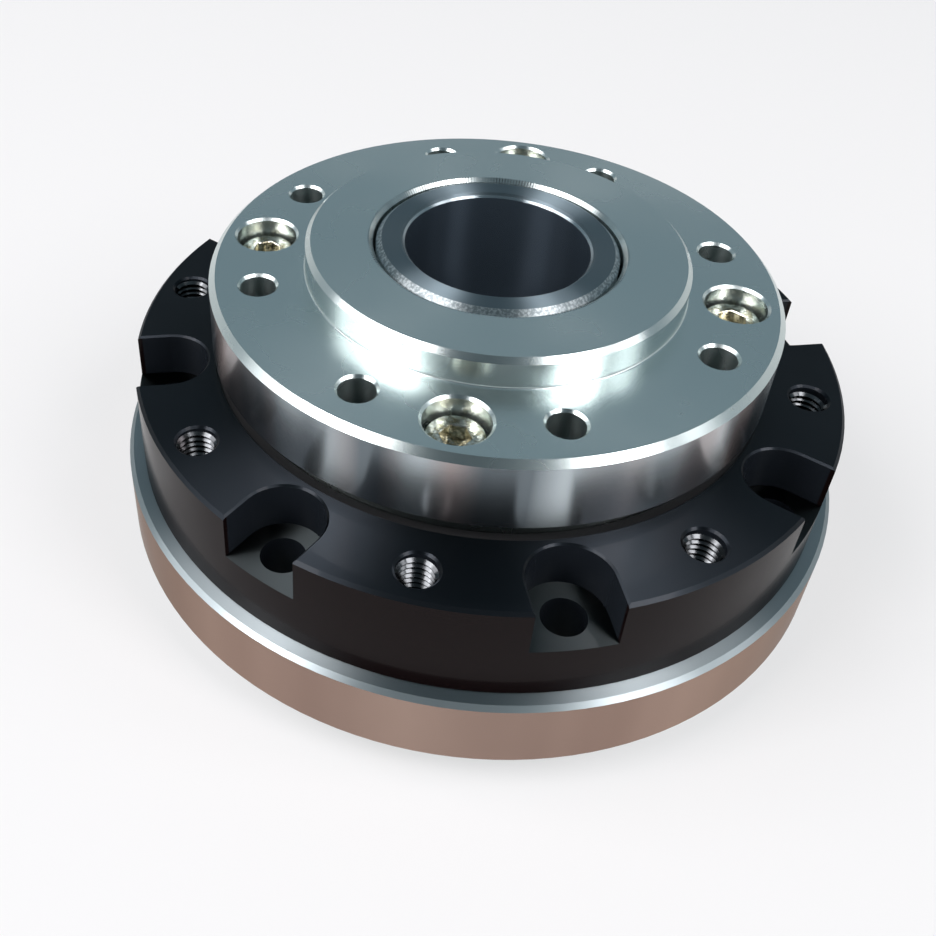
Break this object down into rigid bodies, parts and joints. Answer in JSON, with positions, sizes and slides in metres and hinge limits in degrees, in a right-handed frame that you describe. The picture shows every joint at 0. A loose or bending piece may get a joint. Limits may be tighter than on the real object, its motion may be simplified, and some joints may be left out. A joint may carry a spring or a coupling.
{
  "type": "strain wave gear",
  "caption": "Hollow-shaft strain wave gear unit with a crossed roller bearing, a notched black mounting flange and a flanged silver output disc.",
  "frame": {"origin": "on the turning axis, in the plane of the rear face, which it stands on", "axes": "+Z along the turning axis towards the output; +X through a tapped hole of the mounting flange and along the wave generator's long axis at rest"},
  "size_m": [0.12, 0.12, 0.0555],
  "materials": {
    "turned_aluminium": "fine turned, clear anodised",
    "black_anodised": "glossy black anodised",
    "ground_steel": "ground, satin",
    "dark_steel": "ground and polished, dark",
    "bearing_steel": "ground bearing steel",
    "screw_steel": "zinc passivated",
    "seal_rubber": "matt black",
    "cage_plastic": "moulded"
  },
  "bodies": {
    "housing": {"mounting_flange": "black_anodised", "base_ring": "ground_steel", "rear_cover": "turned_aluminium", "flexspline": "bearing_steel", "crossed_roller_outer_ring_upper": "bearing_steel", "crossed_roller_outer_ring_lower": "bearing_steel", "wave_bearing_outer_race": "bearing_steel", "input_bearing_outer_ring": "bearing_steel", "input_bearing_bore_clip": "bearing_steel", "input_shaft_seal": "seal_rubber", "output_flange_seal": "seal_rubber", "rear_pilot_cord_ring": "seal_rubber", "housing_screws": "screw_steel", "rear_cover_screws": "screw_steel"},
    "output": {"output_flange": "turned_aluminium", "circular_spline": "bearing_steel", "crossed_roller_inner_ring": "bearing_steel", "output_screws": "screw_steel", "spline_screws": "screw_steel", "output_bearing_outer_ring": "bearing_steel", "output_bearing_bore_clip": "bearing_steel", "output_shaft_seal": "seal_rubber", "output_flange_cord_ring": "seal_rubber"},
    "shaft": {"hollow_shaft": "dark_steel", "wave_bearing_inner_race": "bearing_steel", "wave_bearing_clip": "bearing_steel", "output_bearing_inner_ring": "bearing_steel", "output_bearing_shaft_clip": "bearing_steel", "input_bearing_inner_ring": "bearing_steel", "input_bearing_shaft_clip": "bearing_steel"},
    "crossed_roller_set": {"crossed_rollers": "bearing_steel", "roller_spacers": "cage_plastic"},
    "wave_ball_set": {"wave_bearing_balls": "bearing_steel", "wave_bearing_cage": "cage_plastic"},
    "output_ball_set": {"output_bearing_balls": "bearing_steel", "output_bearing_cage": "cage_plastic"},
    "input_ball_set": {"input_bearing_balls": "bearing_steel", "input_bearing_cage": "cage_plastic"}
  },
  "joints": [
    {"name": "output_spin", "type": "hinge", "parent": "housing", "child": "output", "pos_m": [0, 0, 0], "axis": [0, 0, 1], "continuous": true},
    {"name": "shaft_spin", "type": "hinge", "parent": "housing", "child": "shaft", "pos_m": [0, 0, 0], "axis": [0, 0, 1], "continuous": true, "deforming": ["flexspline", "wave_bearing_outer_race"]},
    {"name": "crossed_roller_orbit", "type": "hinge", "parent": "housing", "child": "crossed_roller_set", "pos_m": [0, 0, 0], "axis": [0, 0, 1], "continuous": true},
    {"name": "wave_ball_orbit", "type": "hinge", "parent": "housing", "child": "wave_ball_set", "pos_m": [0, 0, 0], "axis": [0, 0, 1], "continuous": true, "deforming": ["wave_bearing_balls", "wave_bearing_cage"]},
    {"name": "output_ball_orbit", "type": "hinge", "parent": "housing", "child": "output_ball_set", "pos_m": [0, 0, 0], "axis": [0, 0, 1], "continuous": true},
    {"name": "input_ball_orbit", "type": "hinge", "parent": "housing", "child": "input_ball_set", "pos_m": [0, 0, 0], "axis": [0, 0, 1], "continuous": true}
  ],
  "couplings": [
    {"joint": "shaft_spin", "follows": "output_spin", "ratio": 51},
    {"joint": "crossed_roller_orbit", "follows": "output_spin", "ratio": 0.48128},
    {"joint": "wave_ball_orbit", "follows": "output_spin", "ratio": 22.817},
    {"joint": "output_ball_orbit", "follows": "output_spin", "ratio": 24.098},
    {"joint": "input_ball_orbit", "follows": "output_spin", "ratio": 23.56}
  ]
}
